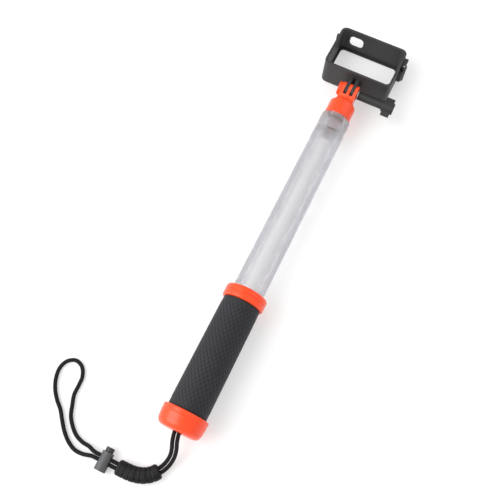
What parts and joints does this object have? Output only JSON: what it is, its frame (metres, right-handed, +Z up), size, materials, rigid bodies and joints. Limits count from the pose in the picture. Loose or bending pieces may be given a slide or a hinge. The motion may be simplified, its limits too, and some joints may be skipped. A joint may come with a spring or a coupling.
{
  "type": "selfie stick",
  "caption": "Telescopic selfie stick with clear twist-lock tubes, rubber grip, wrist strap and a tilting action-camera cage on a thumbscrew clamp.",
  "frame": {"origin": "on the stick's axis at the middle of the grip, where a hand holds it", "axes": "+X along the stick from the strap end to the camera cage; +Z up with the stick lying on a floor at z = -0.020, the knob towards -Y"},
  "size_m": [0.4652, 0.1627, 0.04],
  "materials": {
    "orange_plastic": "satin moulded",
    "grip_rubber": "matt, knurled",
    "clear_tube": "clear polycarbonate",
    "natural_nylon": "milky",
    "black_nylon": "moulded",
    "seal_rubber": "smooth",
    "steel": "plain",
    "knob_plastic": "moulded",
    "cage_plastic": "fine texture",
    "strap_braid": "braided",
    "strap_rubber": "smooth",
    "lock_plastic": "moulded"
  },
  "bodies": {
    "handle": {"end_cap": "orange_plastic", "butt_plug": "black_nylon", "butt_seals": "seal_rubber", "strap_knot": "strap_braid", "grip_sleeve": "grip_rubber", "grip_collar": "orange_plastic", "outer_tube": "clear_tube", "tube_guide": "natural_nylon", "mouth_wiper": "seal_rubber", "strap_cord": "strap_braid", "strap_sleeve": "strap_rubber"},
    "lock_shoe": {"lock_shoe": "natural_nylon"},
    "mast": {"inner_tube": "clear_tube", "foot_plug": "black_nylon", "foot_seal": "seal_rubber", "shoe_washer": "steel", "shoe_screw": "steel", "mast_head": "orange_plastic", "head_seal": "seal_rubber", "clamp_nut": "steel"},
    "screw_washer": {"screw_washer": "steel"},
    "thumbscrew": {"screw_shank": "steel", "screw_knob": "knob_plastic"},
    "cage": {"cage_frame": "cage_plastic", "cage_hinge_pin": "steel"},
    "cage_door": {"cage_door": "cage_plastic"},
    "cord_lock": {"cord_lock_body": "lock_plastic", "cord_lock_spring": "steel"},
    "cord_lock_button": {"cord_lock_button": "lock_plastic"}
  },
  "joints": [
    {"name": "mast_slide", "type": "slide", "parent": "handle", "child": "lock_shoe", "axis": [1, 0, 0], "range_m": [0, 0.245]},
    {"name": "mast_twist", "type": "hinge", "parent": "lock_shoe", "child": "mast", "pos_m": [0, 0, 0], "axis": [1, 0, 0], "range_deg": [-90, 90]},
    {"name": "cage_tilt", "type": "hinge", "parent": "mast", "child": "cage", "pos_m": [0.282, 0, 0], "axis": [0, 1, 0], "range_deg": [-96, 83]},
    {"name": "screw_withdraw", "type": "slide", "parent": "mast", "child": "screw_washer", "axis": [0, -1, 0], "range_m": [0, 0.004]},
    {"name": "screw_turn", "type": "hinge", "parent": "screw_washer", "child": "thumbscrew", "pos_m": [0.282, 0, 0], "axis": [0, -1, 0], "range_deg": [0, 1800]},
    {"name": "door_hinge", "type": "hinge", "parent": "cage", "child": "cage_door", "pos_m": [0.3276, -0.0367, -0.00527], "axis": [-0.1148, 0, -0.9934], "range_deg": [0, 110]},
    {"name": "cord_lock_slide", "type": "slide", "parent": "handle", "child": "cord_lock", "axis": [0, 1, 0], "range_m": [-0.005, 0.004]},
    {"name": "cord_lock_press", "type": "slide", "parent": "cord_lock", "child": "cord_lock_button", "axis": [-1, 0, 0], "range_m": [0, 0.002], "stiffness_N_per_m": 400, "springref_m": -0.003, "deforming": ["cord_lock_spring"]}
  ],
  "couplings": [
    {"joint": "screw_turn", "follows": "screw_withdraw", "rad_per_m": 7854}
  ]
}
